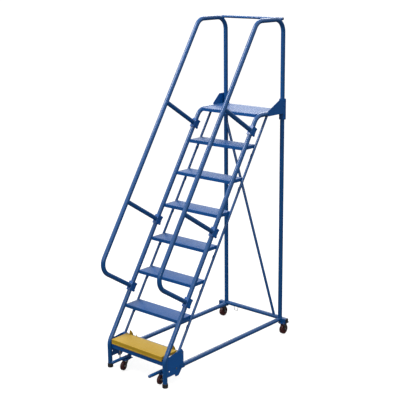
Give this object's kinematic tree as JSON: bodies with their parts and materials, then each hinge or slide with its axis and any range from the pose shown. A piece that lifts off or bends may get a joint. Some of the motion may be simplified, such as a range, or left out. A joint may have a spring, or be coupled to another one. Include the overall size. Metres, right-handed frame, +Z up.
{
  "type": "rolling warehouse ladder",
  "caption": "Rolling steel ladder with a guarded top platform, tilting front casters and a lock step that sets it on its feet.",
  "frame": {"origin": "centre of the base's box on the floor", "axes": "+Z up, +Y the way a person climbs, +X to the climber's right"},
  "size_m": [0.782, 1.6595, 2.809],
  "materials": {
    "blue_coat": "royal blue gloss powder coat",
    "yellow_coat": "mustard yellow powder coat with grit",
    "zinc_steel": "dull zinc plate",
    "loop_steel": "bare grey wire",
    "black_rubber": "black moulded rubber",
    "black_plastic": "black moulded plug",
    "wheel_plastic": "dark red moulded wheel",
    "bush_nylon": "natural nylon"
  },
  "bodies": {
    "frame": {"caster_fasteners": "zinc_steel", "caster_outriggers": "blue_coat", "caster_pads": "blue_coat", "clamp_fasteners": "zinc_steel", "frame_fasteners": "zinc_steel", "handrail_stubs": "blue_coat", "left_base_rail": "blue_coat", "left_handrail": "blue_coat", "left_rear_post": "blue_coat", "left_side_plate": "blue_coat", "left_stringer": "blue_coat", "lower_crossmember": "blue_coat", "outrigger_plugs": "black_plastic", "pivot_shaft": "zinc_steel", "platform_brackets": "blue_coat", "platform_tread": "blue_coat", "rail_clamps": "blue_coat", "rear_axles": "zinc_steel", "rear_brace": "blue_coat", "rear_cross_tube": "blue_coat", "rear_forks": "zinc_steel", "rear_stringers": "blue_coat", "right_base_rail": "blue_coat", "right_handrail": "blue_coat", "right_rear_post": "blue_coat", "right_side_plate": "blue_coat", "right_stringer": "blue_coat", "rubber_feet": "black_rubber", "step_bumpers": "black_rubber", "step_hinge_rod": "zinc_steel", "tie_loop": "loop_steel", "top_crossbar": "blue_coat", "tread_2": "blue_coat", "tread_3": "blue_coat", "tread_4": "blue_coat", "tread_5": "blue_coat", "tread_6": "blue_coat", "tread_7": "blue_coat"},
    "lock_step": {"lock_step": "yellow_coat", "link_top_pins": "zinc_steel"},
    "step_links": {"step_links": "zinc_steel"},
    "carriage": {"carriage_sleeve": "blue_coat", "link_arms": "blue_coat", "release_pedals": "blue_coat", "caster_mounts": "blue_coat", "swivel_plates": "zinc_steel", "mount_bolts": "zinc_steel", "return_spring": "zinc_steel"},
    "left_swivel": {"left_swivel_fork": "zinc_steel", "left_front_axle": "zinc_steel"},
    "left_front_wheel": {"left_front_wheel": "wheel_plastic", "left_front_bush": "bush_nylon"},
    "left_rear_wheel": {"left_rear_wheel": "wheel_plastic", "left_rear_bush": "bush_nylon"},
    "right_swivel": {"right_swivel_fork": "zinc_steel", "right_front_axle": "zinc_steel"},
    "right_front_wheel": {"right_front_wheel": "wheel_plastic", "right_front_bush": "bush_nylon"},
    "right_rear_wheel": {"right_rear_wheel": "wheel_plastic", "right_rear_bush": "bush_nylon"}
  },
  "joints": [
    {"name": "carriage_tilt", "type": "hinge", "parent": "frame", "child": "carriage", "pos_m": [0, -0.60475, 0.128], "axis": [1, 0, 0], "range_deg": [0, 8], "stiffness_Nm_per_rad": 60, "springref_deg": -8.59, "deforming": ["return_spring"]},
    {"name": "lock_step_hinge", "type": "hinge", "parent": "frame", "child": "lock_step", "pos_m": [0, -0.53675, 0.24], "axis": [-1, 0, 0], "range_deg": [0, 5.6]},
    {"name": "link_swing", "type": "hinge", "parent": "lock_step", "child": "step_links", "pos_m": [0, -0.57675, 0.226], "axis": [1, 0, 0], "range_deg": [0, 6.2]},
    {"name": "left_swivel", "type": "hinge", "parent": "carriage", "child": "left_swivel", "pos_m": [-0.182, -0.67475, 0.083], "axis": [0, 0, 1], "continuous": true},
    {"name": "left_front_roll", "type": "hinge", "parent": "left_swivel", "child": "left_front_wheel", "pos_m": [-0.17555, -0.70507, 0.0405], "axis": [0.9781, 0.2079, 0], "continuous": true},
    {"name": "right_swivel", "type": "hinge", "parent": "carriage", "child": "right_swivel", "pos_m": [0.234, -0.67475, 0.083], "axis": [0, 0, 1], "continuous": true},
    {"name": "right_front_roll", "type": "hinge", "parent": "right_swivel", "child": "right_front_wheel", "pos_m": [0.24044, -0.70507, 0.0405], "axis": [0.9781, 0.2079, 0], "continuous": true},
    {"name": "left_rear_roll", "type": "hinge", "parent": "frame", "child": "left_rear_wheel", "pos_m": [-0.353, 0.78525, 0.0445], "axis": [1, 0, 0], "continuous": true},
    {"name": "right_rear_roll", "type": "hinge", "parent": "frame", "child": "right_rear_wheel", "pos_m": [0.353, 0.78525, 0.0445], "axis": [1, 0, 0], "continuous": true}
  ],
  "couplings": [
    {"joint": "lock_step_hinge", "follows": "carriage_tilt", "ratio": 0.7},
    {"joint": "link_swing", "follows": "carriage_tilt", "ratio": 0.766}
  ]
}
